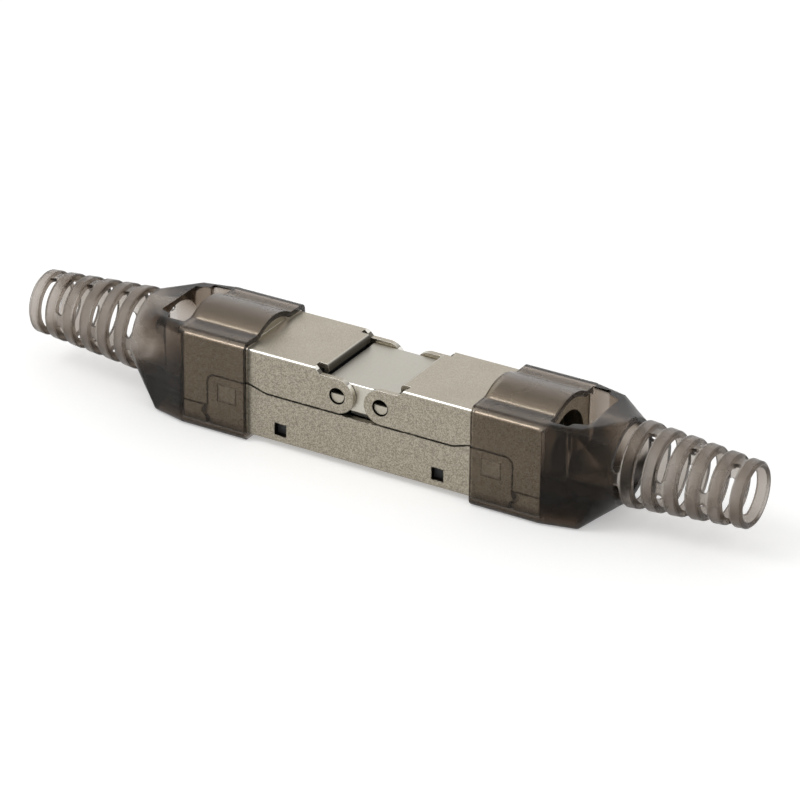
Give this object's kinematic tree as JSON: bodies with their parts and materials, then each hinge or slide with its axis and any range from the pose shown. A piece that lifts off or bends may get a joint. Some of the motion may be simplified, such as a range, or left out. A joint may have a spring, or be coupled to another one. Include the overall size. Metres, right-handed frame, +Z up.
{
  "type": "inline network cable coupler",
  "caption": "Inline coupler joining two shielded network cables: hinged metal body with a slotted translucent boot on each end.",
  "frame": {"origin": "centre of the underside of the boots, the surface that the coupler rests on", "axes": "+X along the cable towards the right-hand boot's tip, +Y to the back, +Z up through the lids"},
  "size_m": [0.1294, 0.0186, 0.0186],
  "materials": {
    "nickel": "satin nickel plate on a die casting",
    "cover_metal": "smooth satin plate",
    "pin_steel": "turned",
    "spring_steel": "rolled strip",
    "smoke_plastic": "smoky translucent moulding",
    "dark_plastic": "matte moulding",
    "white_plastic": "matte moulding",
    "board": "solder mask",
    "contact_metal": "plated"
  },
  "bodies": {
    "body": {"base_shell": "nickel", "lid_left": "nickel", "lid_right": "nickel", "centre_cover": "cover_metal", "hinge_pin_left": "pin_steel", "hinge_pin_right": "pin_steel", "board_carrier": "dark_plastic", "circuit_board": "board", "contact_block_left": "white_plastic", "contact_block_right": "white_plastic", "contacts_left": "contact_metal", "contacts_right": "contact_metal", "wire_manager_left": "dark_plastic", "wire_manager_right": "dark_plastic", "cable_saddle_left": "nickel", "cable_saddle_right": "nickel", "shield_spring_left": "spring_steel", "shield_spring_right": "spring_steel"},
    "left_boot": {"boot_left": "smoke_plastic"},
    "right_boot": {"boot_right": "smoke_plastic"}
  },
  "joints": [
    {"name": "left_boot_slide", "type": "slide", "parent": "body", "child": "left_boot", "axis": [-1, 0, 0], "range_m": [0, 0.016]},
    {"name": "right_boot_slide", "type": "slide", "parent": "body", "child": "right_boot", "axis": [1, 0, 0], "range_m": [0, 0.016]}
  ]
}
